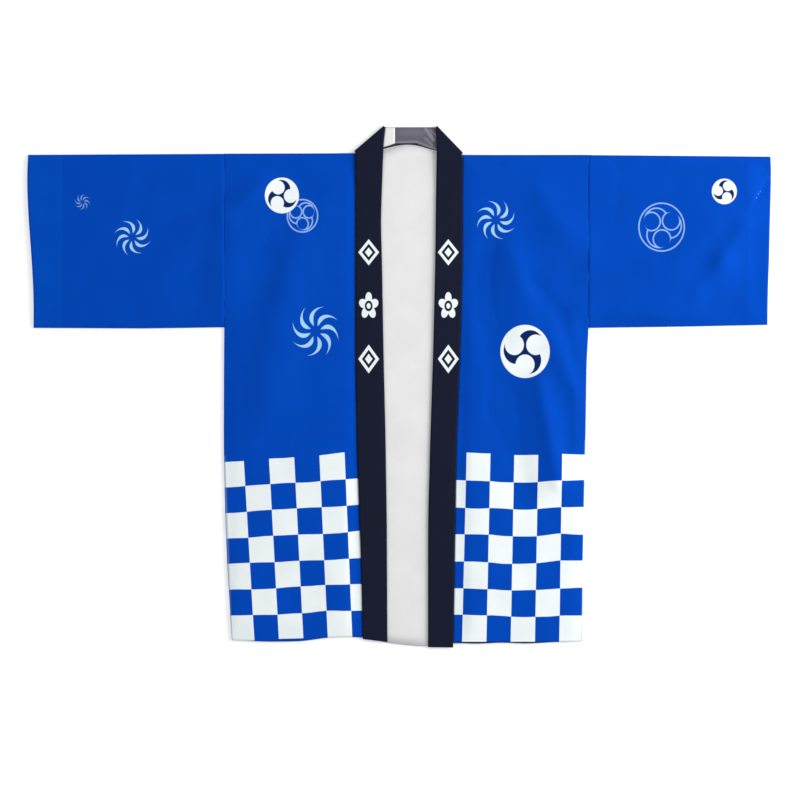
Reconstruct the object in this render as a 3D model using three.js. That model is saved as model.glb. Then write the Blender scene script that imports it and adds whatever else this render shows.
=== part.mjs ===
// Happi coat, laid flat with its front up, in millimetres with +Z up.
//
// Two measures place every point of the cloth. "x" runs across from the centre back, positive
// towards the wearer's left. "down" runs from the shoulder line towards the hem, along -Y.
// Right and left are always the wearer's. The back lies on the floor at z = 0, the fronts and the
// upper walls of the sleeves lie on it, and the collar is one folded strip that runs up the right
// front, turns over at the shoulder, passes behind the neck, turns again and runs down the left.

import * as THREE from 'three';

// Cloth
const CLOTH = 1.5;
const COLLAR = 3.0;
const LABEL = 1.0;

// Spaces between pieces
const SEAM_GAP = 0.3;
const REST_GAP = 0.8;
const SEAM_REACH = 26;

// Largest heights over the floor at the neck
const FOLDED_COLLAR_Z = 4.6;
const RISE_FROM = 60;
const RISE_TO = -5;

// Edges of the body and the sleeves
const BODY_SIDE = [
  { down: 0, right: -303, left: 301.5 },
  { down: 288, right: -303, left: 301.5 },
  { down: 341, right: -303.5, left: 298 },
  { down: 474, right: -304, left: 296 },
  { down: 574, right: -302.5, left: 293.5 },
  { down: 673, right: -299, left: 291.5 },
  { down: 820, right: -290, left: 290.5 },
];
const CUFF = [
  { down: 0, right: -628.5, left: 603 },
  { down: 42, right: -630.5, left: 604 },
  { down: 100, right: -628, left: 602 },
  { down: 175, right: -622.5, left: 600.5 },
  { down: 238, right: -619, left: 598 },
  { down: 290, right: -619.5, left: 598 },
];
const SHOULDER = [
  { x: -631, down: 0.5 },
  { x: -303, down: -1.2 },
  { x: -90, down: -1.8 },
  { x: 92, down: 1 },
  { x: 301, down: 0.8 },
  { x: 604, down: 3.5 },
];
const SLEEVE_SEAM = [
  { x: -631, down: 288 },
  { x: -440, down: 289 },
  { x: -303, down: 287 },
  { x: 301, down: 288 },
  { x: 453, down: 286 },
  { x: 604, down: 283 },
];
const UNDERARM = 288;

// Neck and hems
const NECKLINE = [
  { x: -86, down: -1.8 },
  { x: -35, down: -7 },
  { x: -13, down: -16 },
  { x: 15, down: -16 },
  { x: 49, down: -3.5 },
  { x: 92, down: 1 },
];
const NECK_TOP = -45;
const HEM = {
  right: [
    { x: -292, down: 806 },
    { x: -230, down: 808.5 },
    { x: -175, down: 808 },
    { x: -129, down: 801 },
    { x: -72, down: 801 },
  ],
  left: [
    { x: 76, down: 810 },
    { x: 115, down: 812 },
    { x: 160, down: 809.5 },
    { x: 200, down: 812 },
    { x: 240, down: 809 },
    { x: 292, down: 808 },
  ],
  back: [
    { x: -292, down: 803 },
    { x: -230, down: 805 },
    { x: -129, down: 798 },
    { x: -74, down: 801 },
    { x: -32, down: 811 },
    { x: 36, down: 818 },
    { x: 80, down: 811 },
    { x: 292, down: 805 },
  ],
};

// Collar: the seam edge is sewn to the front, and the free edge borders the opening
const COLLAR_SEAM = [
  { down: -3, right: -85.5, left: 92 },
  { down: 174, right: -85.5, left: 92 },
  { down: 324, right: -85.5, left: 88 },
  { down: 474, right: -83, left: 82 },
  { down: 573, right: -80, left: 80.5 },
  { down: 690, right: -75.5, left: 78.5 },
  { down: 820, right: -73, left: 76.5 },
];
const COLLAR_FREE = [
  { down: -45, right: -34.5, left: 44.5 },
  { down: -26, right: -38.5, left: 49.5 },
  { down: 110, right: -43.5, left: 47.5 },
  { down: 174, right: -41.5, left: 47 },
  { down: 324, right: -39, left: 43.5 },
  { down: 474, right: -35.5, left: 38.5 },
  { down: 606, right: -33.5, left: 35 },
  { down: 820, right: -32.5, left: 35 },
];
const COLLAR_HEM = {
  right: { seam: 804, free: 809 },
  left: { seam: 818, free: 817.5 },
};
const COLLAR_TURN_FROM = 20;
const COLLAR_TURN = {
  right: { seamX: -85.5, seamDown: -3, freeX: -36.5, freeDown: NECK_TOP },
  left: { seamX: 90.5, seamDown: -0.5, freeX: 47.5, freeDown: NECK_TOP },
};

// Label on the inside of the collar, one end under the right-hand run
const LABEL_PLACE = { topX: -36, lowerX: -41, toX: -20, topDown: -44.5, clearOfSeam: 5.5 };

// Largest folds of the upper layer: soft ridges along straight lines
const RIDGES = [
  { fromX: 561, fromDown: 100, toX: 520, toDown: 183, height: 8, reach: 24 },
  { fromX: 520, fromDown: 183, toX: 458, toDown: 268, height: 6, reach: 24 },
  { fromX: 174, fromDown: 160, toX: 196, toDown: 290, height: 5, reach: 22 },
  { fromX: 221, fromDown: 67, toX: 300, toDown: 170, height: 5, reach: 24 },
  { fromX: 237, fromDown: 300, toX: 282, toDown: 400, height: 4.5, reach: 22 },
  { fromX: 216, fromDown: 378, toX: 242, toDown: 540, height: 4.5, reach: 22 },
  { fromX: -252, fromDown: 75, toX: -296, toDown: 225, height: 4.5, reach: 28 },
  { fromX: -178, fromDown: 150, toX: -225, toDown: 420, height: 5, reach: 28 },
  { fromX: -420, fromDown: 215, toX: -345, toDown: 120, height: 4, reach: 28 },
];

// Facets
const FRONT_FACETS = { across: 11, along: 30 };
const BACK_FACETS = { across: 12, along: 12 };
const SLEEVE_FACETS = { around: 10, along: 12 };
const FOLD_FACETS = 3;
const LAPEL_FACETS = 24;
const TURN_FACETS = 3;
const NECK_FACETS = 8;
const LABEL_FACETS = { across: 2, along: 2 };

const BLUE = new THREE.Color(0x0650b8);
const NIGHT = new THREE.Color(0x1d2134);
const WHITE = new THREE.Color(0xf2f3f4);

const mix = THREE.MathUtils.lerp;
const smooth = THREE.MathUtils.smoothstep;

/** Value of one column of a table at a place along another, straight between its rows. */
function read(table, key, at, column) {
  if (at <= table[0][key]) return table[0][column];
  for (let i = 1; i < table.length; i += 1) {
    const low = table[i - 1];
    const high = table[i];
    if (at <= high[key]) {
      return mix(low[column], high[column], (at - low[key]) / (high[key] - low[key]));
    }
  }
  return table[table.length - 1][column];
}

const sideX = (side, down) => read(BODY_SIDE, 'down', down, side);
const cuffX = (side, down) => read(CUFF, 'down', down, side);
const seamX = (side, down) => read(COLLAR_SEAM, 'down', down, side);
const freeX = (side, down) => read(COLLAR_FREE, 'down', down, side);
const shoulderDown = (x) => read(SHOULDER, 'x', x, 'down');
const sleeveSeamDown = (x) => read(SLEEVE_SEAM, 'x', x, 'down');
const necklineDown = (x) => read(NECKLINE, 'x', x, 'down');
const hemDown = (piece, x) => read(HEM[piece], 'x', x, 'down');
const outward = (side) => (side === 'left' ? 1 : -1);

/** A point of the cloth at a height over the floor. */
const place = (x, down, z) => new THREE.Vector3(x, -down, z);

/**
 * Closed solid of a sheet with two faces. at(i, j) gives the pair of points [face, back] of column
 * i and row j. A wrapped sheet joins its last column to its first, which makes a tube.
 */
function sheetSolid({ across, along, wrap = false, at }) {
  const columns = wrap ? across : across + 1;
  const positions = [];
  for (let j = 0; j <= along; j += 1) {
    for (let i = 0; i < columns; i += 1) {
      at(i, j).forEach((point) => positions.push(point.x, point.y, point.z));
    }
  }
  const corner = (i, j, side) => 2 * (j * columns + (i % columns)) + side;
  const triangles = [];
  const quad = (a, b, c, d) => triangles.push(a, b, c, a, c, d);
  for (let j = 0; j < along; j += 1) {
    for (let i = 0; i < across; i += 1) {
      quad(corner(i, j, 0), corner(i + 1, j, 0), corner(i + 1, j + 1, 0), corner(i, j + 1, 0));
      quad(corner(i, j, 1), corner(i, j + 1, 1), corner(i + 1, j + 1, 1), corner(i + 1, j, 1));
    }
  }
  for (let i = 0; i < across; i += 1) {
    quad(corner(i, 0, 0), corner(i, 0, 1), corner(i + 1, 0, 1), corner(i + 1, 0, 0));
    quad(corner(i, along, 0), corner(i + 1, along, 0), corner(i + 1, along, 1), corner(i, along, 1));
  }
  for (let j = 0; j < along && !wrap; j += 1) {
    quad(corner(0, j, 0), corner(0, j + 1, 0), corner(0, j + 1, 1), corner(0, j, 1));
    quad(corner(across, j, 0), corner(across, j, 1), corner(across, j + 1, 1), corner(across, j + 1, 0));
  }
  const geometry = new THREE.BufferGeometry();
  geometry.setAttribute('position', new THREE.Float32BufferAttribute(positions, 3));
  geometry.setIndex(triangles);
  return facingOut(geometry);
}

/** The same solid with its faces turned outwards, judged by the sign of its volume. */
function facingOut(geometry) {
  const points = geometry.getAttribute('position');
  const order = Array.from(geometry.getIndex().array);
  const [a, b, c] = [new THREE.Vector3(), new THREE.Vector3(), new THREE.Vector3()];
  let volume = 0;
  for (let k = 0; k < order.length; k += 3) {
    a.fromBufferAttribute(points, order[k]);
    b.fromBufferAttribute(points, order[k + 1]);
    c.fromBufferAttribute(points, order[k + 2]);
    volume += a.dot(b.cross(c));
  }
  if (volume < 0) order.reverse();
  geometry.setIndex(order);
  geometry.computeVertexNormals();
  return geometry;
}

/** How far a place of the upper layer is from the nearest seam or fold that holds it down. */
function fromSeams(x, down) {
  const side = x < 0 ? 'right' : 'left';
  const beyond = outward(side) * (x - sideX(side, down));
  const above = sleeveSeamDown(x) - down;
  let underarm = above;
  if (beyond < 0) underarm = down < UNDERARM ? Math.hypot(beyond, above) : -beyond;
  const collar = outward(side) * (x - seamX(side, down));
  return Math.max(0, Math.min(down - shoulderDown(x), underarm, collar));
}

/** Height of a ridge at a place: full along its line, fading softly beside and beyond it. */
function ridgeHeight({ fromX, fromDown, toX, toDown, height, reach }, x, down) {
  const line = new THREE.Line3(place(fromX, fromDown, 0), place(toX, toDown, 0));
  const here = place(x, down, 0);
  const nearest = line.closestPointToPoint(here, true, new THREE.Vector3());
  return height * Math.exp(-((here.distanceTo(nearest) / reach) ** 2));
}

/** Space between the lower and the upper layer. */
function hollow(x, down) {
  const free = smooth(fromSeams(x, down), 0, SEAM_REACH);
  const lift = RIDGES.reduce((sum, ridge) => sum + ridgeHeight(ridge, x, down), 0);
  return SEAM_GAP + free * (REST_GAP - SEAM_GAP + lift);
}

/** Top edge of the back: the shoulder line, raised to the neckline under the collar. */
function backTopDown(x) {
  const inNeck = x > NECKLINE[0].x && x < NECKLINE[NECKLINE.length - 1].x;
  return inNeck ? necklineDown(x) : shoulderDown(x);
}

/** Back: one flat panel from side to side. */
function backPanel() {
  const { across, along } = BACK_FACETS;
  return sheetSolid({
    across,
    along,
    at(i, j) {
      const nearDown = mix(0, UNDERARM * 2.8, j / along);
      const x = backColumnX(i / across, nearDown);
      const down = mix(backTopDown(x), hemDown('back', x), j / along);
      return [place(x, down, CLOTH), place(x, down, 0)];
    },
  });
}

/** Columns of the back: half of them cross the neck, so that its curve keeps its corners. */
function backColumnX(share, down) {
  const neck = NECKLINE.map((row) => row.x);
  const outer = [sideX('right', down), sideX('left', down)];
  const stops = [outer[0], (outer[0] + neck[0]) / 2, ...neck, (outer[1] + neck[5]) / 2, outer[1]];
  const at = share * (stops.length - 1);
  const low = Math.min(Math.floor(at), stops.length - 2);
  return mix(stops[low], stops[low + 1], at - low);
}

/** Front: from the side seam and the armhole to the collar, over the back. */
function frontPanel(side) {
  const { across, along } = FRONT_FACETS;
  const inset = outward(side) * SEAM_GAP;
  return sheetSolid({
    across,
    along,
    at(i, j) {
      const nearDown = mix(0, 810, j / along);
      const x = mix(sideX(side, nearDown), seamX(side, nearDown) + inset, i / across);
      const down = mix(shoulderDown(x), hemDown(side, x), j / along);
      const under = CLOTH + hollow(x, down);
      return [place(x, down, under + CLOTH), place(x, down, under)];
    },
  });
}

/**
 * Ring of a sleeve: the lower wall from the underarm seam up to the shoulder fold, round the
 * fold, the upper wall back down, and round at the seam. Each entry says where a point lies.
 */
function sleeveRing() {
  const ring = [];
  const { around } = SLEEVE_FACETS;
  for (let k = 0; k <= around; k += 1) ring.push({ wall: 'lower', share: 1 - k / around });
  for (let k = 1; k <= FOLD_FACETS; k += 1) {
    ring.push({ wall: 'fold', turn: (Math.PI * k) / (FOLD_FACETS + 1) });
  }
  for (let k = 0; k <= around; k += 1) ring.push({ wall: 'upper', share: k / around });
  for (let k = 1; k <= FOLD_FACETS; k += 1) {
    ring.push({ wall: 'seam', turn: (Math.PI * k) / (FOLD_FACETS + 1) });
  }
  return ring;
}

/** Sleeve: a flat tube, open at the armhole and at the cuff. */
function sleeve(side) {
  const ring = sleeveRing();
  const { along } = SLEEVE_FACETS;
  const armhole = (down) => sideX(side, Math.min(down, UNDERARM)) + outward(side) * SEAM_GAP;
  return sheetSolid({
    across: ring.length,
    along,
    wrap: true,
    at(i, j) {
      const { wall, share, turn } = ring[i];
      const nearX = mix(armhole(0), cuffX(side, 0), j / along);
      const top = shoulderDown(nearX);
      const bottom = sleeveSeamDown(nearX);
      const radius = CLOTH + SEAM_GAP / 2;
      const acrossAt = (down) => mix(armhole(down), cuffX(side, down), j / along);
      if (wall === 'fold' || wall === 'seam') {
        const [end, sense] = wall === 'fold' ? [top + radius, -1] : [bottom - radius, 1];
        return [radius, SEAM_GAP / 2].map((reach) => {
          const down = end + sense * reach * Math.sin(turn);
          const z = radius + sense * reach * Math.cos(turn);
          return place(acrossAt(down), down, z);
        });
      }
      const down = mix(top + radius, bottom - radius, share);
      const x = acrossAt(down);
      if (wall === 'lower') return [place(x, down, 0), place(x, down, CLOTH)];
      const under = CLOTH + (share === 0 || share === 1 ? SEAM_GAP : hollow(x, down));
      return [place(x, down, under + CLOTH), place(x, down, under)];
    },
  });
}

/** Height of the collar's underside: on the back, and over the neck run near the shoulder. */
function lapelUnder(down) {
  const risen = 1 - smooth(down, RISE_TO, RISE_FROM);
  return mix(CLOTH + SEAM_GAP, FOLDED_COLLAR_Z, risen);
}

/** Stations of one front run of the collar, from the hem up to the line it turns over on. */
function lapelStations(side) {
  const stations = [];
  const hem = COLLAR_HEM[side];
  const turn = COLLAR_TURN[side];
  const station = (seamAt, freeAt, seamAcross, freeAcross) => {
    const z = lapelUnder(freeAt) + COLLAR / 2;
    stations.push({
      seam: place(seamAcross, seamAt, z),
      free: place(freeAcross, freeAt, z),
      up: new THREE.Vector3(0, 0, 1),
    });
  };
  for (let k = 0; k <= LAPEL_FACETS; k += 1) {
    const seamAt = mix(hem.seam, COLLAR_TURN_FROM, k / LAPEL_FACETS);
    const freeAt = mix(hem.free, COLLAR_TURN_FROM, k / LAPEL_FACETS);
    station(seamAt, freeAt, seamX(side, seamAt), freeX(side, freeAt));
  }
  for (let k = 1; k <= TURN_FACETS; k += 1) {
    const seamAt = mix(COLLAR_TURN_FROM, turn.seamDown, k / TURN_FACETS);
    const freeAt = mix(COLLAR_TURN_FROM, turn.freeDown, k / TURN_FACETS);
    const last = k === TURN_FACETS;
    station(seamAt, freeAt, last ? turn.seamX : seamX(side, seamAt), last ? turn.freeX : freeX(side, freeAt));
  }
  return stations;
}

/** Stations round the fold where the collar turns over at a shoulder, upper side first. */
function turnStations(side) {
  const turn = COLLAR_TURN[side];
  const seam = place(turn.seamX, turn.seamDown, 0);
  const free = place(turn.freeX, turn.freeDown, 0);
  const along = free.clone().sub(seam).normalize();
  const out = new THREE.Vector3(-along.y, along.x, 0).multiplyScalar(side === 'right' ? 1 : -1);
  const upper = FOLDED_COLLAR_Z + COLLAR / 2;
  const lower = COLLAR / 2;
  const radius = (upper - lower) / 2;
  const stations = [];
  for (let k = 1; k <= FOLD_FACETS + 1; k += 1) {
    const angle = (Math.PI * k) / (FOLD_FACETS + 1);
    const up = out.clone().multiplyScalar(Math.sin(angle));
    up.z = Math.cos(angle);
    const shift = up.clone().multiplyScalar(radius);
    shift.z += lower + radius;
    stations.push({ seam: seam.clone().add(shift), free: free.clone().add(shift), up });
  }
  return stations;
}

/** Stations of the run behind the neck, between the two turned ends. */
function neckStations() {
  const { right, left } = COLLAR_TURN;
  const stations = [];
  for (let k = 1; k < NECK_FACETS; k += 1) {
    const seamAcross = mix(right.seamX, left.seamX, k / NECK_FACETS);
    const freeAcross = mix(right.freeX, left.freeX, k / NECK_FACETS);
    stations.push({
      seam: place(seamAcross, necklineDown(seamAcross) - 4 * SEAM_GAP, COLLAR / 2),
      free: place(freeAcross, NECK_TOP, COLLAR / 2),
      up: new THREE.Vector3(0, 0, -1),
    });
  }
  return stations;
}

/** Collar: one strip, folded over on itself at both shoulders. */
function collar() {
  const stations = [
    ...lapelStations('right'),
    ...turnStations('right'),
    ...neckStations(),
    ...turnStations('left').reverse(),
    ...lapelStations('left').reverse(),
  ];
  return sheetSolid({
    across: 1,
    along: stations.length - 1,
    at(i, j) {
      const { seam, free, up } = stations[j];
      const half = up.clone().multiplyScalar(COLLAR / 2);
      const edge = i === 0 ? seam : free;
      return [edge.clone().add(half), edge.clone().sub(half)];
    },
  });
}

/** Label: a small flat piece on the inside of the collar. */
function sizeLabel() {
  const { across, along } = LABEL_FACETS;
  const { topX, lowerX, toX, topDown, clearOfSeam } = LABEL_PLACE;
  const under = COLLAR + SEAM_GAP;
  return sheetSolid({
    across,
    along,
    at(i, j) {
      const x = mix(mix(topX, lowerX, j / along), toX, i / across);
      const down = mix(topDown, necklineDown(x) - clearOfSeam, j / along);
      return [place(x, down, under + LABEL), place(x, down, under)];
    },
  });
}

const coat = new THREE.Group();

/** Adds one named piece in its own colour. */
function add(name, geometry, color, roughness) {
  const material = new THREE.MeshStandardMaterial({ color, roughness, metalness: 0 });
  const piece = new THREE.Mesh(geometry, material);
  piece.name = name;
  coat.add(piece);
}

add('back_panel', backPanel(), BLUE, 0.75);
add('front_right', frontPanel('right'), BLUE, 0.75);
add('front_left', frontPanel('left'), BLUE, 0.75);
add('sleeve_right', sleeve('right'), BLUE, 0.75);
add('sleeve_left', sleeve('left'), BLUE, 0.75);
add('collar', collar(), NIGHT, 0.6);
add('size_label', sizeLabel(), WHITE, 0.8);

// The origin is the middle of the coat's outline, on the floor.
const box = new THREE.Box3().setFromObject(coat);
const middle = box.getCenter(new THREE.Vector3());
coat.position.set(-middle.x, -middle.y, -box.min.z);

export default coat;
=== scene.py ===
"""Happi coat laid flat, front up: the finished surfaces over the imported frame, in metres."""

import math

import bmesh
import bpy
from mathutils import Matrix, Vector, noise


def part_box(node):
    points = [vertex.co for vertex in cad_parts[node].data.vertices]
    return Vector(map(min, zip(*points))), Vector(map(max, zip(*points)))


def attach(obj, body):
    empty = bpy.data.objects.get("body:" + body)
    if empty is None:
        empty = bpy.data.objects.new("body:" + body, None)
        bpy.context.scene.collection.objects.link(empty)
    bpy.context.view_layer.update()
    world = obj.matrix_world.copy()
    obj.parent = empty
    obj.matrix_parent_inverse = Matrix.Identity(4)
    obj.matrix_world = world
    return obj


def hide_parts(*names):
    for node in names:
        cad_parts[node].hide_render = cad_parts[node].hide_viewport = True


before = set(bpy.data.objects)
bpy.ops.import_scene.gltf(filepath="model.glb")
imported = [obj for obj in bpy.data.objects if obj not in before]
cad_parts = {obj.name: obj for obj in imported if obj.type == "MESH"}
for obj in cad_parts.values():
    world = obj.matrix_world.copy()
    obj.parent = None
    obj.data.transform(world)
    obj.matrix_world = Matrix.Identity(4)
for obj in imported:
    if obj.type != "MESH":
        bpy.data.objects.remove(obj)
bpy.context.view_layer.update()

# The tables below use the maker's measures, in millimetres: x across from the centre back, towards
# the wearer's left, and down from the shoulder line. CENTRE and SHOULDER place them in the frame.
MM = 0.001
LEFT_SIDE_X = 301.5
LEFT_SHOULDER_DOWN = 0.8
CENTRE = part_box("back_panel")[1].x - LEFT_SIDE_X * MM
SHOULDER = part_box("front_left")[1].y + LEFT_SHOULDER_DOWN * MM

# Colours, linear
BLUE = (0.0001, 0.066, 0.50)
WHITE = (0.90, 0.965, 0.98)
PALE_BLUE = (0.40, 0.68, 0.95)
PALE_LINE = (0.30, 0.50, 0.90)
NIGHT = (0.0095, 0.0125, 0.030)
# Inside of the black collar, lighter grey as painted sheen
SHEEN_GREY = (0.135, 0.130, 0.158)
REVERSE = (0.83, 0.83, 0.83)
LABEL_WHITE = (0.85, 0.85, 0.85)
# Dark navy: the print of the solid rounds, and painted shade on the turned hem
DARK_NAVY_PRINT_AND_SHADE = (0.004, 0.02, 0.12)
FLOOR = (0.9, 0.9, 0.9)
FLOOR_GLOW = 0.3
FLOOR_HALF = 6.0
FLOOR_Z = -0.0005

# Folds laid on the upper layers: height and half-width of a soft crease along each line
CREASES = {
    "right": [
        (-207, 142, -236, 233, -1.8, 10),
        (-236, 233, -257, 325, -1.2, 11),
        (-206, 160, -250, 420, 4.6, 17),
        (-244, 46, -300, 100, 6.5, 16),
        (-300, 100, -312, 185, 4.5, 16),
        (-312, 185, -314, 250, 2.5, 16),
        (-455, 215, -380, 175, 4.0, 20),
        (-186, 175, -214, 262, 1.6, 11),
        (-227, 130, -240, 158, -1.4, 6),
        (-292, 66, -244, 26, -2.4, 12),
        (-292, 130, -288, 240, 2.2, 13),
        (-150, 40, -132, 190, 0.9, 16),
        (-140, 380, -160, 520, 0.8, 20),
        (-250, 470, -262, 560, 0.9, 14),
        (-110, 600, -122, 720, 0.7, 16),
        (-412, 126, -306, 70, -2.6, 15),
        (-392, 100, -318, 50, 1.4, 14),
        (-377, 140, -372, 160, -1.2, 8),
        (-526, 258, -456, 258, -0.9, 6),
        (-337, 178, -337, 233, -0.7, 5),
        (-350, 233, -350, 268, -0.7, 5),
        (-565, 20, -430, 60, -1.0, 22),
        (-530, 90, -470, 150, 1.2, 22),
    ],
    "left": [
        (138, 150, 133, 270, -3.4, 14),
        (133, 270, 146, 430, -2.4, 12),
        (160, 400, 192, 570, -3.4, 17),
        (224, 378, 252, 545, 3.4, 10),
        (150, 160, 146, 262, 1.4, 9),
        (174, 167, 212, 270, 1.6, 10),
        (224, 72, 262, 128, 1.0, 10),
        (240, 128, 248, 175, 1.4, 16),
        (207, 208, 254, 266, -2.2, 9),
        (254, 266, 287, 369, -2.2, 9),
        (237, 303, 287, 403, 1.6, 10),
        (216, 378, 246, 540, 1.8, 11),
        (266, 399, 268, 482, -2.0, 9),
        (138, 13, 154, 17, -0.8, 5),
        (163, 9, 179, 9, 0.8, 6),
        (118, 560, 128, 700, 0.8, 16),
        (210, 600, 226, 720, 0.9, 16),
        (555, 118, 520, 175, 3.4, 12),
        (520, 175, 478, 225, 3.2, 13),
        (478, 225, 455, 264, 2.6, 13),
        (575, 250, 590, 236, 2.2, 16),
        (582, 192, 584, 253, -1.6, 8),
        (350, 12, 350, 76, -0.7, 5),
        (400, 60, 360, 190, 0.9, 24),
    ],
    "collar": [
        (-70, 611, -42, 606, -0.35, 4),
        (44, 625, 70, 630, -0.35, 4),
        (-72, 240, -50, 300, 0.3, 10),
        (55, 420, 70, 520, 0.3, 10),
    ],
    "neck": [
        (-16, -21.5, 13, -22.5, 1.1, 1.9),
        (17, -22, 48, -10, 1.1, 1.9),
        (31, -44, 46, -24, 0.8, 2.4),
        (38, -44, 50, -32, 0.7, 2.0),
        (30, -32, 40, -16, 0.5, 2.2),
        (-10, -36, 12, -34, 0.35, 4.0),
    ],
}
CREASE_STRENGTH = {"right": 0.48, "left": 0.85, "collar": 1.0, "neck": 1.0}
LAYERS = {
    "front_right": "right",
    "sleeve_right": "right",
    "front_left": "left",
    "sleeve_left": "left",
    "collar": "collar",
}
UPPER_LIFT = 2.2
UNEVEN = 1.4
SEAM_REACH = 24
OPEN_EDGE_SHARE = 0.35
OPEN_EDGE_REACH = 40
UNDERARM = 288
# On the wearer's left (1) and right (-1): armhole inside the back's widest place, and the collar's
# outer edge
BODY_INSET = {1: 5, -1: 1}
COLLAR_EDGE = {1: 85, -1: 82}
ARMHOLE_REACH = 0.6
ARMHOLE_LAP = 1.3
ARMHOLE_STEP = 0.06
HEM_DOWN = 808
CUFF_X = 600
COLLAR_LIFT = 0.3
COLLAR_MIDDLE = 61
COLLAR_HALF = 24
NECK_RUN_Z = 0.003
NECK_RUN_TOP_Z = 0.0056
UPPER_FROM_Z = 0.0017
SMOOTHING_LEVELS = {
    "back_panel": 2,
    "front_right": 3,
    "front_left": 3,
    "sleeve_right": 3,
    "sleeve_left": 3,
    "collar": 4,
    "size_label": 2,
}


def measures(point):
    """(x, down) of a point of the frame, in the maker's millimetres."""
    return (point[0] - CENTRE) / MM, (SHOULDER - point[1]) / MM


def crease_height(x, down, rows):
    """Sum of the soft ridges and troughs at a place."""
    total = 0.0
    for x0, d0, x1, d1, height, width in rows:
        dx, dd = x1 - x0, d1 - d0
        t = ((x - x0) * dx + (down - d0) * dd) / (dx * dx + dd * dd)
        t = min(1.0, max(0.0, t))
        gap = math.hypot(x - x0 - t * dx, down - d0 - t * dd)
        if gap < 3 * width:
            total += height * math.exp(-((gap / width) ** 2) / 2)
    return total


# The left sleeve's large ridge has broad sides: its line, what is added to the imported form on
# the inner and the cuff side, how far that reaches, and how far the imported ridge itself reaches
BROAD_RIDGE = (561, 100, 458, 268)
BROAD_SIDES = {"inner": (10.0, 95), "cuff": (1.0, 52)}
BROAD_FORM_REACH = 30


def broad_ridge(x, down):
    """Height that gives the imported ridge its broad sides, zero on its line."""
    x0, d0, x1, d1 = BROAD_RIDGE
    dx, dd = x1 - x0, d1 - d0
    t = ((x - x0) * dx + (down - d0) * dd) / (dx * dx + dd * dd)
    t = min(1.0, max(0.0, t))
    gap = math.hypot(x - x0 - t * dx, down - d0 - t * dd)
    turn = dx * (down - d0) - dd * (x - x0)
    height, reach = BROAD_SIDES["inner" if turn > 0 else "cuff"]
    return height * (math.exp(-((gap / reach) ** 2)) - math.exp(-((gap / BROAD_FORM_REACH) ** 2)))


def uneven(x, down):
    """Soft waves of cloth that was smoothed out by hand, from about -1 to 1."""
    wide = noise.noise(Vector((x / 85, down / 120, 3.1)))
    fine = noise.noise(Vector((x / 30, down / 46, 7.7)))
    return wide + 0.4 * fine


def smoothed(name):
    """The node's own form as smooth cloth: its quads back in place, softened, hard edges kept."""
    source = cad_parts[name]
    mesh = source.data.copy()
    mesh.name = f"{name}_cloth"
    cloth = bmesh.new()
    cloth.from_mesh(mesh)
    bmesh.ops.remove_doubles(cloth, verts=cloth.verts, dist=1e-6)
    bmesh.ops.join_triangles(
        cloth,
        faces=cloth.faces,
        angle_face_threshold=math.radians(50),
        angle_shape_threshold=math.radians(75),
    )
    layers = cloth.edges.layers.float
    crease = layers.get("crease_edge") or layers.new("crease_edge")
    for edge in cloth.edges:
        if len(edge.link_faces) == 2 and edge.calc_face_angle(0) > math.radians(62):
            edge[crease] = 1.0
    cloth.to_mesh(mesh)
    cloth.free()
    piece = bpy.data.objects.new(f"{name}_cloth", mesh)
    bpy.context.scene.collection.objects.link(piece)
    soften = piece.modifiers.new("soften", "SUBSURF")
    soften.levels = soften.render_levels = SMOOTHING_LEVELS[name]
    bpy.context.view_layer.update()
    softened = piece.evaluated_get(bpy.context.evaluated_depsgraph_get())
    finished = bpy.data.meshes.new_from_object(softened)
    piece.modifiers.clear()
    piece.data = finished
    return piece


def ease(value):
    """0 below 0, 1 above 1, soft between."""
    value = min(1.0, max(0.0, value))
    return value * value * (3 - 2 * value)


def freedom(x, down, edges):
    """How free the upper layer is to lift: 0 at its seams and 1 away from them."""
    side = 1 if x > 0 else -1
    body_x, collar_x = edges[side]
    beyond = side * x - body_x
    above = UNDERARM - down
    if beyond > 0:
        underarm = above
    else:
        underarm = math.hypot(beyond, above) if above > 0 else -beyond
    seam = min(down + 1, underarm, side * x - collar_x)
    open_edge = min(CUFF_X - side * x, HEM_DOWN - down)
    share = OPEN_EDGE_SHARE + (1 - OPEN_EDGE_SHARE) * ease(open_edge / OPEN_EDGE_REACH)
    return ease(seam / SEAM_REACH) * share


def lay_folds(piece, name):
    """Moves the upper layer up and down by its creases, held at its seams."""
    layer = LAYERS.get(name)
    if not layer:
        return
    edges = {
        1: (measures(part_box("back_panel")[1])[0] - BODY_INSET[1], COLLAR_EDGE[1]),
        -1: (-measures(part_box("back_panel")[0])[0] - BODY_INSET[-1], COLLAR_EDGE[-1]),
    }
    for vertex in piece.data.vertices:
        point = vertex.co
        x, down = measures(point)
        if layer == "collar":
            if down < 0 and abs(point.z - NECK_RUN_Z) < 0.0001:
                vertex.co.z += crease_height(x, down, CREASES["neck"]) * MM
            elif down > 60:
                inside = (COLLAR_HALF - abs(abs(x) - COLLAR_MIDDLE)) / COLLAR_HALF
                lift = COLLAR_LIFT + crease_height(x, down, CREASES["collar"])
                vertex.co.z += lift * ease(2 * inside) * MM
        elif point.z > UPPER_FROM_Z:
            creases = CREASE_STRENGTH[layer] * crease_height(x, down, CREASES[layer])
            lift = UPPER_LIFT + UNEVEN * uneven(x, down) + creases
            if layer == "left":
                lift += broad_ridge(x, down)
            vertex.co.z += max(0.0, lift) * freedom(x, down, edges) * MM


# Cloth surface: the weave's pitch in millimetres and depth in metres, how fine its wear, its
# fuzz and its thicker threads are, and its gloss
WEAVE_PITCH = 0.9
WEAVE_DEPTH = 0.0002
WEAR_SCALE = 0.018
FUZZ_SCALE = 0.7
SLUB_SCALE = 0.35
CLOTH_SPECULAR = 0.04


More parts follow.
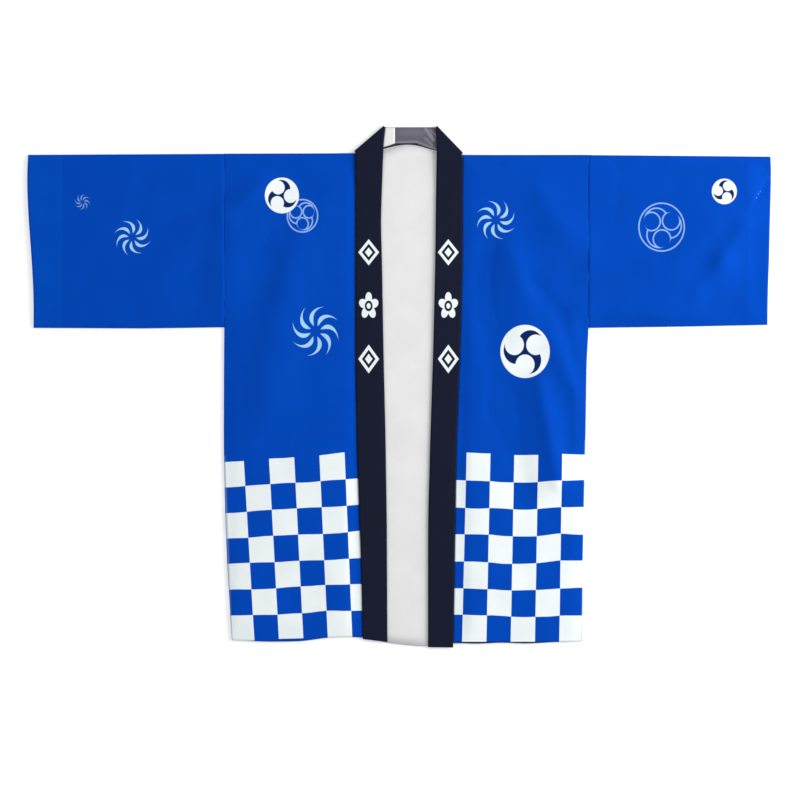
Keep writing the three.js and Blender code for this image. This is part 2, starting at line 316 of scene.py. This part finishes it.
class Pattern:
    """Writes a print as shader nodes over the maker's measures, in millimetres."""

    def __init__(self, name):
        self.material = bpy.data.materials.new(name)
        self.material.use_nodes = True
        self.tree = self.material.node_tree
        self.shader = self.tree.nodes["Principled BSDF"]
        place = self.tree.nodes.new("ShaderNodeTexCoord").outputs["Object"]
        moved = self.vector("SUBTRACT", place, (CENTRE, SHOULDER, 0))
        self.place = self.vector("MULTIPLY", moved, (1 / MM, -1 / MM, 0))
        split = self.tree.nodes.new("ShaderNodeSeparateXYZ")
        self.tree.links.new(self.place, split.inputs[0])
        self.x, self.down = split.outputs[0], split.outputs[1]

    def feed(self, socket, value):
        if isinstance(value, bpy.types.NodeSocket):
            self.tree.links.new(value, socket)
        else:
            socket.default_value = value

    def math(self, operation, *values, clamp=False):
        node = self.tree.nodes.new("ShaderNodeMath")
        node.operation = operation
        node.use_clamp = clamp
        for socket, value in zip(node.inputs, values):
            self.feed(socket, value)
        return node.outputs[0]

    def vector(self, operation, *values):
        node = self.tree.nodes.new("ShaderNodeVectorMath")
        node.operation = operation
        for socket, value in zip(node.inputs, values):
            self.feed(socket, value)
        gives_number = operation in ("DISTANCE", "LENGTH", "DOT_PRODUCT")
        return node.outputs["Value" if gives_number else "Vector"]

    def scaled(self, value, factor):
        """A place or a colour times a number."""
        node = self.tree.nodes.new("ShaderNodeVectorMath")
        node.operation = "SCALE"
        self.feed(node.inputs[0], value)
        self.feed(node.inputs["Scale"], factor)
        return node.outputs[0]

    def largest(self, values):
        result = values[0]
        for value in values[1:]:
            result = self.math("MAXIMUM", result, value)
        return result

    def cover(self, field, softness):
        """1 where the field is above 0, with a soft edge."""
        return self.math("MULTIPLY_ADD", field, 1 / softness, 0.5, clamp=True)

    def mix(self, factor, below, above):
        node = self.tree.nodes.new("ShaderNodeMix")
        node.data_type = "RGBA"
        self.feed(node.inputs[0], factor)
        for socket, colour in ((node.inputs[6], below), (node.inputs[7], above)):
            if not isinstance(colour, bpy.types.NodeSocket):
                colour = (*colour, 1)
            self.feed(socket, colour)
        return node.outputs[2]

    def noise(self, scale, detail=2.0):
        node = self.tree.nodes.new("ShaderNodeTexNoise")
        node.inputs["Scale"].default_value = scale
        node.inputs["Detail"].default_value = detail
        self.tree.links.new(self.place, node.inputs["Vector"])
        return node.outputs["Fac"]

    def local(self, x, down, wide, tall):
        """Place relative to a motif's centre, in its own radius, y up."""
        moved = self.vector("SUBTRACT", self.place, (x, down, 0))
        return self.vector("MULTIPLY", moved, (1 / wide, -1 / tall, 0))

    def disc(self, spot, angle, distance, radius):
        """Field of a round: positive inside. The angle turns clockwise from up."""
        turn = math.radians(angle)
        centre = (distance * math.sin(turn), distance * math.cos(turn), 0)
        return self.math("SUBTRACT", radius, self.vector("DISTANCE", spot, centre))

    def commas(self, spot, first, trail):
        """Field of three commas in a round, with their tails trailing to one side."""
        heads = [first + 120 * k for k in range(3)]
        around = self.largest([self.disc(spot, a + trail * 22, 0.35, 0.525) for a in heads])
        inside = self.largest([self.disc(spot, a, 0.5, 0.385) for a in heads])
        dark = self.math("MINIMUM", around, self.math("MULTIPLY", inside, -1))
        return self.math("MINIMUM", self.disc(spot, 0, 0, 1), self.math("MULTIPLY", dark, -1))

    def wheel(self, spot, first, trail):
        """Field of eight crescent arms that sweep out from the middle."""
        split = self.tree.nodes.new("ShaderNodeSeparateXYZ")
        self.tree.links.new(spot, split.inputs[0])
        angle = self.math("ARCTAN2", split.outputs[0], split.outputs[1])
        angle = self.math("MULTIPLY", angle, trail)
        radius = self.vector("LENGTH", spot)
        t = self.math("DIVIDE", self.math("SUBTRACT", radius, 0.22), 0.78)
        sweep = self.math("MULTIPLY_ADD", t, math.radians(62), math.radians(-22))
        sweep = self.math("MULTIPLY_ADD", sweep, t, math.radians(first * trail))
        away = self.math("WRAP", self.math("SUBTRACT", angle, sweep), math.pi / 8, -math.pi / 8)
        away = self.math("ABSOLUTE", self.math("MULTIPLY", away, radius))
        rest = self.math("SUBTRACT", 1, t)
        width = self.math("MULTIPLY", self.math("MULTIPLY", t, rest), 0.36)
        return self.math("SUBTRACT", width, away)

    def finish(self, colour, roughness, bump=0.25):
        """Adds wear, the weave and the shader's own values."""
        wear = self.math("MULTIPLY_ADD", self.noise(WEAR_SCALE, 3), 0.16, 0.92)
        fuzz = self.math("MULTIPLY_ADD", self.noise(FUZZ_SCALE, 2), 0.12, 0.94)
        tone = self.scaled(colour, self.math("MULTIPLY", wear, fuzz))
        self.feed(self.shader.inputs["Base Color"], tone)
        self.shader.inputs["Roughness"].default_value = roughness
        self.shader.inputs["Specular IOR Level"].default_value = CLOTH_SPECULAR
        turns = 2 * math.pi / WEAVE_PITCH
        warp = self.math("SINE", self.math("MULTIPLY", self.x, turns))
        weft = self.math("SINE", self.math("MULTIPLY", self.down, turns))
        rough = self.math("MULTIPLY", warp, weft)
        height = self.math("MULTIPLY_ADD", self.noise(SLUB_SCALE, 3), 2.0, rough)
        node = self.tree.nodes.new("ShaderNodeBump")
        node.inputs["Strength"].default_value = bump
        node.inputs["Distance"].default_value = WEAVE_DEPTH
        self.feed(node.inputs["Height"], height)
        self.tree.links.new(node.outputs[0], self.shader.inputs["Normal"])
        return self.material


# Checks: two rows place the first column line, and the two sides place the first row line
CHECKS = {
    "front_right": {
        "line_x": (-270.6, 507, -254.0, 789),
        "pitch_x": (41.9, 40.7),
        "line_down": (508, -270, 495, -97),
        "pitch_down": (42.69, 43.7),
        "white_is_even": False,
        "dip": None,
        "fold": 0,
    },
    "front_left": {
        "line_x": (98.6, 507, 92.2, 773),
        "pitch_x": (39.6, 40.2),
        "line_down": (496, 99, 496, 256),
        "pitch_down": (44.7, 44.7),
        "white_is_even": True,
        "dip": (196, 55, 4.0),
        "fold": 808.5,
    },
    "back_panel": {
        "line_x": (-290, 507, -283, 789),
        "pitch_x": (41.4, 40.6),
        "line_down": (500, -290, 500, 290),
        "pitch_down": (43.6, 43.6),
        "white_is_even": True,
        "dip": None,
        "fold": 0,
    },
}

CHECK_ROWS = 7
CHECK_WARP = 9.0
CHECK_WARP_SCALE = 0.011

# Printed rounds: kind, centre x and down, half width and half height, first angle, trailing side
MOTIFS = {
    "front_right": [
        ("lines", -173.3, 102.1, 25.2, 27.0, 60, -1),
        ("solid", -207.3, 68.4, 28.2, 29.7, -27, 1),
        ("wheel", -151.6, 293.5, 40.0, 43.0, -20, 1),
    ],
    "front_left": [
        ("wheel", 147.2, 109.1, 33.0, 33.5, 18, -1),
        ("solid", 195.7, 327.0, 40.8, 44.0, 60, -1),
    ],
    "sleeve_right": [
        ("wheel", -455.3, 137.6, 30.0, 30.5, 8, -1),
        ("faint wheel", -538.2, 79.3, 12.9, 13.2, -20, 1),
    ],
    "sleeve_left": [
        ("lines", 421.8, 121.0, 37.5, 39.7, -62, 1),
        ("solid", 525.4, 62.1, 20.6, 21.2, 35, -1),
    ],
}
LINE_HALF_WIDTH = 1.05
PRINT_EDGE = 0.8
FAINT = 0.55


def print_rounds(pattern, colour, rows):
    """Prints the rounds of a piece over its colour."""
    for kind, x, down, wide, tall, first, trail in rows:
        spot = pattern.local(x, down, wide, tall)
        soft = PRINT_EDGE / wide
        if kind.endswith("wheel"):
            shape = pattern.cover(pattern.wheel(spot, first, trail), soft)
            if kind.startswith("faint"):
                shape = pattern.math("MULTIPLY", shape, FAINT)
            colour = pattern.mix(shape, colour, PALE_BLUE)
            continue
        field = pattern.commas(spot, first, trail)
        whole = pattern.cover(pattern.disc(spot, 0, 0, 1), soft)
        if kind == "solid":
            # The round's disc is printed dark navy
            colour = pattern.mix(whole, colour, DARK_NAVY_PRINT_AND_SHADE)
            colour = pattern.mix(pattern.cover(field, soft), colour, WHITE)
            continue
        rim = pattern.math("SUBTRACT", LINE_HALF_WIDTH / wide, pattern.math("ABSOLUTE", field))
        colour = pattern.mix(pattern.cover(rim, soft), colour, PALE_LINE)
    return colour


def print_checks(pattern, colour, rule):
    """Prints the checked border, and paints the turned hem under it dark as painted shade."""

    def along(socket, first, at_first, second, at_second):
        slope = (second - first) / (at_second - at_first)
        return pattern.math("MULTIPLY_ADD", socket, slope, first - slope * at_first)

    x0, d0, x1, d1 = rule["line_x"]
    down = pattern.down
    if rule["dip"]:
        dip_x, dip_reach, dip_depth = rule["dip"]
        away = pattern.math("SUBTRACT", pattern.x, dip_x)
        turn = pattern.math("MULTIPLY", away, math.pi / 2 / dip_reach)
        turn = pattern.math("MINIMUM", pattern.math("ABSOLUTE", turn), math.pi / 2)
        dip = pattern.math("MULTIPLY", pattern.math("COSINE", turn), dip_depth)
        down = pattern.math("SUBTRACT", down, dip)
    warp = pattern.noise(CHECK_WARP_SCALE, 1)
    warp = pattern.math("MULTIPLY_ADD", warp, CHECK_WARP, -CHECK_WARP / 2)
    down = pattern.math("ADD", down, warp)
    down0, xa, down1, xb = rule["line_down"]
    line = along(pattern.down, x0, d0, x1, d1)
    pitch = along(pattern.down, rule["pitch_x"][0], d0, rule["pitch_x"][1], d1)
    top = along(pattern.x, down0, xa, down1, xb)
    tall = along(pattern.x, rule["pitch_down"][0], xa, rule["pitch_down"][1], xb)
    column = pattern.math("DIVIDE", pattern.math("SUBTRACT", pattern.x, line), pitch)
    row = pattern.math("DIVIDE", pattern.math("SUBTRACT", down, top), tall)
    whole = [pattern.math("FLOOR", value) for value in (column, row)]
    odd = pattern.math("ABSOLUTE", pattern.math("MODULO", pattern.math("ADD", *whole), 2))
    white = odd if not rule["white_is_even"] else pattern.math("SUBTRACT", 1, odd)
    started = pattern.math("GREATER_THAN", row, 0)
    ended = pattern.math("LESS_THAN", row, CHECK_ROWS)
    shown = pattern.math("MULTIPLY", pattern.math("MULTIPLY", started, ended), white)
    colour = pattern.mix(shown, colour, WHITE)
    if rule["fold"]:
        # Painted shade: the hem's edge below the fold curls down away from the light
        under = pattern.math("GREATER_THAN", pattern.down, rule["fold"])
        colour = pattern.mix(under, colour, DARK_NAVY_PRINT_AND_SHADE)
    return colour


def print_seam(pattern, colour, socket, at, half_width, strength):
    """A thin darker line where a seam or a turned hem shows through."""
    gap = pattern.math("ABSOLUTE", pattern.math("SUBTRACT", socket, at))
    line = pattern.cover(pattern.math("SUBTRACT", half_width, gap), 1.5)
    dark = tuple(c * 0.45 for c in BLUE)
    return pattern.mix(pattern.math("MULTIPLY", line, strength), colour, dark)


# Side seam of each front: x at two heights, straight between, and which way is out
SIDE_LINES = {
    "front_right": (-303.0, 500, -291.5, 800, -1),
    "front_left": (296.0, 474, 291.0, 760, 1),
}
SIDE_SHADE = (0.20, 0.33, 0.56)


def shade_side(pattern, colour, rule):
    """Darker rim where the cloth turns in at its side seam."""
    x0, d0, x1, d1, side = rule
    slope = (x1 - x0) / (d1 - d0)
    line = pattern.math("MULTIPLY_ADD", pattern.down, slope, x0 - slope * d0)
    inside = pattern.math("MULTIPLY", pattern.math("SUBTRACT", line, pattern.x), side)
    rim = pattern.cover(pattern.math("SUBTRACT", 1.4, inside), 2.0)
    started = pattern.math("GREATER_THAN", pattern.down, d0)
    factor = pattern.math("MULTIPLY", pattern.math("MULTIPLY", rim, started), 0.55)
    return pattern.mix(factor, colour, SIDE_SHADE)


# Turned cuffs: where each ends, and how much lighter each cuff is painted
CUFF_HEM = {
    "sleeve_right": (-570.0, (1.0, 1.14, 1.05)),
    "sleeve_left": (562.0, (1.0, 1.0, 1.0)),
}


def cloth_material(name):
    """Dyed cloth of one piece with its own prints."""
    pattern = Pattern(f"{name}_print")
    colour = BLUE
    if name in CUFF_HEM:
        line, lighter = CUFF_HEM[name]
        side = 1 if line > 0 else -1
        beyond = pattern.math("MULTIPLY", pattern.math("SUBTRACT", pattern.x, line), side)
        light = tuple(c * k for c, k in zip(BLUE, lighter))
        colour = pattern.mix(pattern.cover(beyond, 1.2), colour, light)
        colour = print_seam(pattern, colour, pattern.x, line, 0.8, 0.18)
        colour = print_seam(pattern, colour, pattern.down, 284.5, 0.8, 0.35)
    if name in CHECKS:
        colour = print_checks(pattern, colour, CHECKS[name])
    if name in SIDE_LINES:
        colour = shade_side(pattern, colour, SIDE_LINES[name])
    colour = print_rounds(pattern, colour, MOTIFS.get(name, []))
    return pattern.finish(colour, roughness=0.85)


# Ornaments down each front run of the collar: centre down and half height, alternately a lozenge
# ring and a five-petalled blossom
ORNAMENTS = [(162.5, 22.0), (251.5, 24.0), (339.5, 24.0)]
ORNAMENT_HALF_WIDTH = 17.5
ORNAMENT_X = (-63.5, 68.5)
# In the ornament's own radius: the lozenge ring's reach and half thickness, its heart, the
# blossom's petals over its middle, and the ring of its eye
LOZENGE_RING = (0.82, 0.17)
LOZENGE_HEART = 0.36
PETALS = (0.45, 0.5)
EYE_RING = (0.28, 0.09)


def collar_material():
    """Dark band with plain ornaments printed on its two front runs."""
    pattern = Pattern("collar_print")
    colour = NIGHT
    for centre_x in ORNAMENT_X:
        for number, (down, tall) in enumerate(ORNAMENTS):
            spot = pattern.local(centre_x, down, ORNAMENT_HALF_WIDTH, tall)
            split = pattern.tree.nodes.new("ShaderNodeSeparateXYZ")
            pattern.tree.links.new(spot, split.inputs[0])
            if number % 2 == 0:
                across = pattern.math("ABSOLUTE", split.outputs[0])
                upright = pattern.math("ABSOLUTE", split.outputs[1])
                reach = pattern.math("ADD", across, upright)
                ring = pattern.math("ABSOLUTE", pattern.math("SUBTRACT", reach, LOZENGE_RING[0]))
                frame_line = pattern.math("SUBTRACT", LOZENGE_RING[1], ring)
                heart = pattern.math("SUBTRACT", LOZENGE_HEART, reach)
                field = pattern.math("MAXIMUM", frame_line, heart)
            else:
                angle = pattern.math("ARCTAN2", split.outputs[0], split.outputs[1])
                wave = pattern.math("COSINE", pattern.math("MULTIPLY", angle, 2.5))
                edge = pattern.math("MULTIPLY_ADD", pattern.math("ABSOLUTE", wave), *PETALS)
                radius = pattern.vector("LENGTH", spot)
                field = pattern.math("SUBTRACT", edge, radius)
                eye = pattern.math("ABSOLUTE", pattern.math("SUBTRACT", radius, EYE_RING[0]))
                eye = pattern.math("SUBTRACT", eye, EYE_RING[1])
                field = pattern.math("MINIMUM", field, eye)
            shown = pattern.cover(field, PRINT_EDGE / ORNAMENT_HALF_WIDTH)
            colour = pattern.mix(shown, colour, WHITE)
    return pattern.finish(colour, roughness=0.7, bump=0.35)


# Painted highlights on the creases inside the collar behind the neck: from, to, half-width and
# strength
PAINTED_HIGHLIGHTS = [
    (-19, -20.0, 15, -21.0, 1.2, 0.55),
    (15, -21.0, 48, -8.5, 1.2, 0.55),
    (31, -42, 44, -24, 2.2, 0.75),
    (39, -40, 48, -31, 1.4, 0.5),
    (30, -27, 42, -15, 1.6, 0.4),
    (-8, -37, 24, -36, 5.0, 0.18),
]
HIGHLIGHT_COLOUR = (0.36, 0.37, 0.42)
SEAM_SHADE = [(-40, -9.0, -16, -16.6), (-16, -16.6, 15, -16.8), (15, -16.8, 50, -4.0)]


def inside_collar_material():
    """Reverse of the black collar, painted grey for its sheen, with painted highlights along its
    creases and the dark line of the neck seam.
    """
    pattern = Pattern("collar_inside")
    # Base colour: the band's sheen painted in as grey
    colour = SHEEN_GREY

    def near(x0, d0, x1, d1):
        span = (x1 - x0, d1 - d0, 0)
        length = span[0] ** 2 + span[1] ** 2
        start = pattern.vector("SUBTRACT", pattern.place, (x0, d0, 0))
        share = pattern.math("DIVIDE", pattern.vector("DOT_PRODUCT", start, span), length, clamp=True)
        return pattern.vector("DISTANCE", start, pattern.scaled(span, share))

    # Painted highlights: lighter grey along each crease line
    for x0, d0, x1, d1, half_width, strength in PAINTED_HIGHLIGHTS:
        field = pattern.math("SUBTRACT", half_width, near(x0, d0, x1, d1))
        shown = pattern.math("MULTIPLY", pattern.cover(field, 2 * half_width), strength)
        colour = pattern.mix(shown, colour, HIGHLIGHT_COLOUR)
    for row in SEAM_SHADE:
        field = pattern.math("SUBTRACT", 1.6, near(*row))
        shown = pattern.math("MULTIPLY", pattern.cover(field, 1.4), 0.85)
        colour = pattern.mix(shown, colour, NIGHT)
    return pattern.finish(colour, roughness=0.6, bump=0.4)


def plain_material(name, colour, roughness, bump=0.25):
    """Undyed or plain cloth."""
    return Pattern(name).finish(colour, roughness, bump)


def close_armhole(piece, name):
    """Brings a sleeve's edge up to the body, as it is sewn."""
    low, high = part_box(name)
    side = 1 if high.x > abs(low.x) else -1
    edge = low.x if side > 0 else high.x
    for vertex in piece.data.vertices:
        if abs(vertex.co.x - edge) < ARMHOLE_REACH * MM:
            vertex.co.x -= side * ARMHOLE_LAP * MM
            if vertex.co.z > UPPER_FROM_Z:
                vertex.co.z += ARMHOLE_STEP * MM


def dress(piece, name, materials, choose):
    """Gives the piece its materials; choose(centre, normal) names one for each face."""
    names = list(materials)
    piece.data.materials.clear()
    for key in names:
        piece.data.materials.append(materials[key])
    for face in piece.data.polygons:
        face.material_index = names.index(choose(face.center, face.normal))
        face.use_smooth = True
    piece.data.update()


def sharpen(piece):
    """Keeps the cut edges of the cloth crisp under smooth shading."""
    bpy.context.view_layer.objects.active = piece
    for other in bpy.context.selected_objects:
        other.select_set(False)
    piece.select_set(True)
    bpy.ops.object.shade_smooth_by_angle(angle=math.radians(55))


def declare(piece, name):
    """Attaches the piece to the root body and hides the imported part it stands in for."""
    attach(piece, "root")
    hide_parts(name)


def upper_face(centre, normal):
    return "outside" if normal.z > -0.2 else "inside"


def lower_face(centre, normal):
    return "inside" if normal.z > 0.2 else "outside"


def tube_face(centre, normal):
    """Outside of a flattened sleeve: up on the upper wall and down on the lower."""
    if centre.z < 0.00165:
        return "inside" if normal.z > 0.5 and centre.z > 0.0012 else "outside"
    return "inside" if normal.z < -0.5 else "outside"


def collar_face(centre, normal):
    """The collar turns over at the shoulders, so behind the neck its inside is up."""
    down = measures(centre)[1]
    if down < 30 and normal.z > 0.3 and centre.z < NECK_RUN_TOP_Z:
        return "inside"
    return "outside"


def floor():
    """Wide pale surface that the coat lies on."""
    mesh = bpy.data.meshes.new("floor")
    half = FLOOR_HALF
    corners = [(-half, -half, 0), (half, -half, 0), (half, half, 0), (-half, half, 0)]
    mesh.from_pydata(corners, [], [(0, 1, 2, 3)])
    surface = bpy.data.objects.new("floor", mesh)
    surface.location.z = FLOOR_Z
    material = bpy.data.materials.new("floor")
    material.use_nodes = True
    shader = material.node_tree.nodes["Principled BSDF"]
    shader.inputs["Base Color"].default_value = (*FLOOR, 1)
    shader.inputs["Roughness"].default_value = 0.9
    shader.inputs["Emission Color"].default_value = (1, 1, 1, 1)
    shader.inputs["Emission Strength"].default_value = FLOOR_GLOW
    mesh.materials.append(material)
    bpy.context.scene.collection.objects.link(surface)
    return surface


def light(name, energy, size, place, aim=(0, 0, 0)):
    lamp = bpy.data.lights.new(name, "AREA")
    lamp.energy = energy
    lamp.shape = "RECTANGLE"
    lamp.size, lamp.size_y = size
    holder = bpy.data.objects.new(name, lamp)
    holder.location = place
    holder.rotation_euler = (Vector(aim) - Vector(place)).to_track_quat("-Z", "Y").to_euler()
    bpy.context.scene.collection.objects.link(holder)


# Lamps: power, size and place; and the room's brightness
KEY = (86, (1.6, 2.4), (2.6, 0.5, 1.35))
FILL = (26, (3.0, 3.0), (-1.2, 0.8, 3.2))
ROOM_LIGHT = 0.44


def studio():
    """Soft light from the wearer's left over the coat, with a pale room round it."""
    light("key", *KEY)
    light("fill", *FILL)
    world = bpy.data.worlds.new("room")
    world.use_nodes = True
    background = world.node_tree.nodes["Background"]
    background.inputs[0].default_value = (1, 1, 1, 1)
    background.inputs[1].default_value = ROOM_LIGHT
    scene = bpy.context.scene
    scene.world = world
    scene.view_settings.view_transform = "Standard"


# The picture's middle and width, in the maker's millimetres
VIEW_X, VIEW_DOWN = -11.6, 407.5
VIEW_WIDTH = 1328
CAMERA_HEIGHT = 5.0
SENSOR = 36.0


def camera():
    """Looks straight down on the coat."""
    data = bpy.data.cameras.new("camera")
    data.sensor_width = SENSOR
    data.lens = SENSOR * CAMERA_HEIGHT / (VIEW_WIDTH * MM)
    holder = bpy.data.objects.new("camera", data)
    holder.location = (CENTRE + VIEW_X * MM, SHOULDER - VIEW_DOWN * MM, CAMERA_HEIGHT)
    bpy.context.scene.collection.objects.link(holder)
    bpy.context.scene.camera = holder


camera()
studio()
ground = floor()

reverse = plain_material("reverse", REVERSE, 0.9)
sheen_grey_inside = inside_collar_material()
label_cloth = plain_material("label_cloth", LABEL_WHITE, 0.8)

PANELS = [
    ("back_panel", lower_face, (0.62, 0.84), [ground]),
    ("front_right", upper_face, (0.24, 0.85), ["back_panel_cloth"]),
    ("front_left", upper_face, (0.24, 0.85), ["back_panel_cloth"]),
    ("sleeve_right", tube_face, (0.60, 0.34), [ground]),
    ("sleeve_left", tube_face, (0.60, 0.33), [ground]),
]
for panel, face_rule, cut, under in PANELS:
    made = smoothed(panel)
    lay_folds(made, panel)
    if panel.startswith("sleeve"):
        close_armhole(made, panel)
    dress(made, panel, {"outside": cloth_material(panel), "inside": reverse}, face_rule)
    sharpen(made)
    declare(made, panel)

band = smoothed("collar")
lay_folds(band, "collar")
dress(band, "collar", {"outside": collar_material(), "inside": sheen_grey_inside}, collar_face)
sharpen(band)
declare(band, "collar")

tag = smoothed("size_label")
dress(tag, "size_label", {"outside": label_cloth}, lambda centre, normal: "outside")
sharpen(tag)
declare(tag, "size_label")
